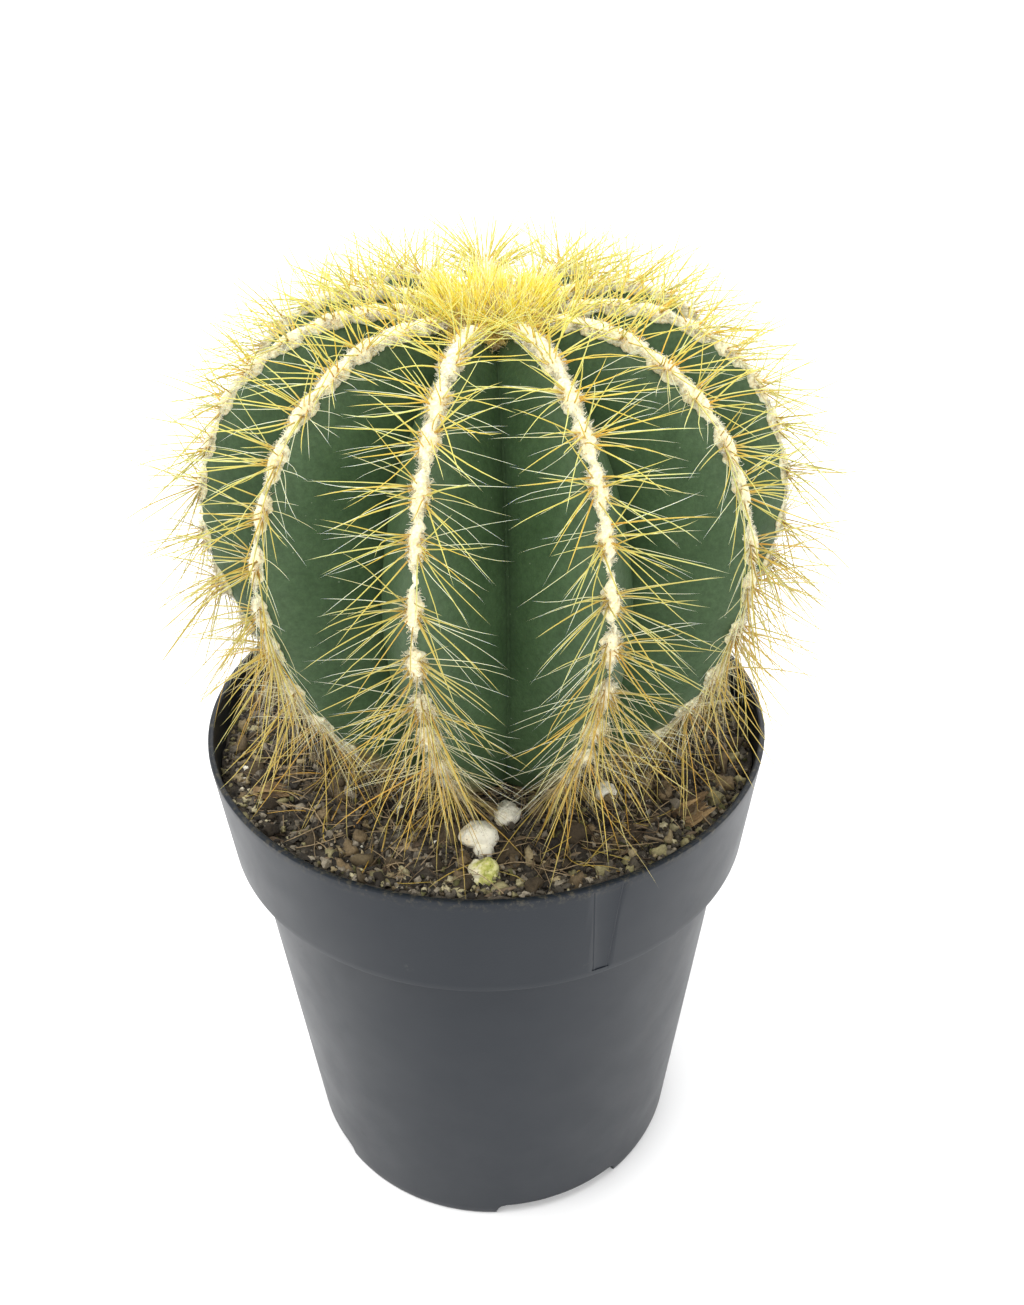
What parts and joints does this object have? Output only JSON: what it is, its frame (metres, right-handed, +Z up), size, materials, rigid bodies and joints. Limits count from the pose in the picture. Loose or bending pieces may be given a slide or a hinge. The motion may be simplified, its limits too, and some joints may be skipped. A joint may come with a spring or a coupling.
{
  "type": "potted round cactus",
  "caption": "Round ribbed cactus with woolly spine-bearing crests and a tufted crown, growing in soil in a round plastic nursery pot.",
  "frame": {"origin": "middle of the pot's foot, on the surface that the pot stands on", "axes": "+Z up along the pot's axis; the front, where a rib valley faces the viewer, is -Y"},
  "size_m": [0.1214, 0.1229, 0.1969],
  "materials": {
    "pot": "satin charcoal moulded plastic",
    "soil": "loose dark peat and bark",
    "skin": "waxy dark green skin",
    "spines": "golden spines in cream wool",
    "perlite": "chalky white, porous",
    "green_grain": "chalky, greenish yellow",
    "bark": "rough bark"
  },
  "bodies": {
    "root": {"pot": "pot", "soil": "soil", "cactus_stem": "skin", "perlite_large": "perlite", "perlite_middle": "perlite", "perlite_green": "green_grain", "perlite_right": "perlite", "perlite_back": "perlite", "bark_right": "bark", "bark_left": "bark", "crown_tuft": "spines", "rib_spines_01": "spines", "rib_spines_02": "spines", "rib_spines_03": "spines", "rib_spines_04": "spines", "rib_spines_05": "spines", "rib_spines_06": "spines", "rib_spines_07": "spines", "rib_spines_08": "spines", "rib_spines_09": "spines", "rib_spines_10": "spines", "rib_spines_11": "spines"}
  },
  "joints": []
}
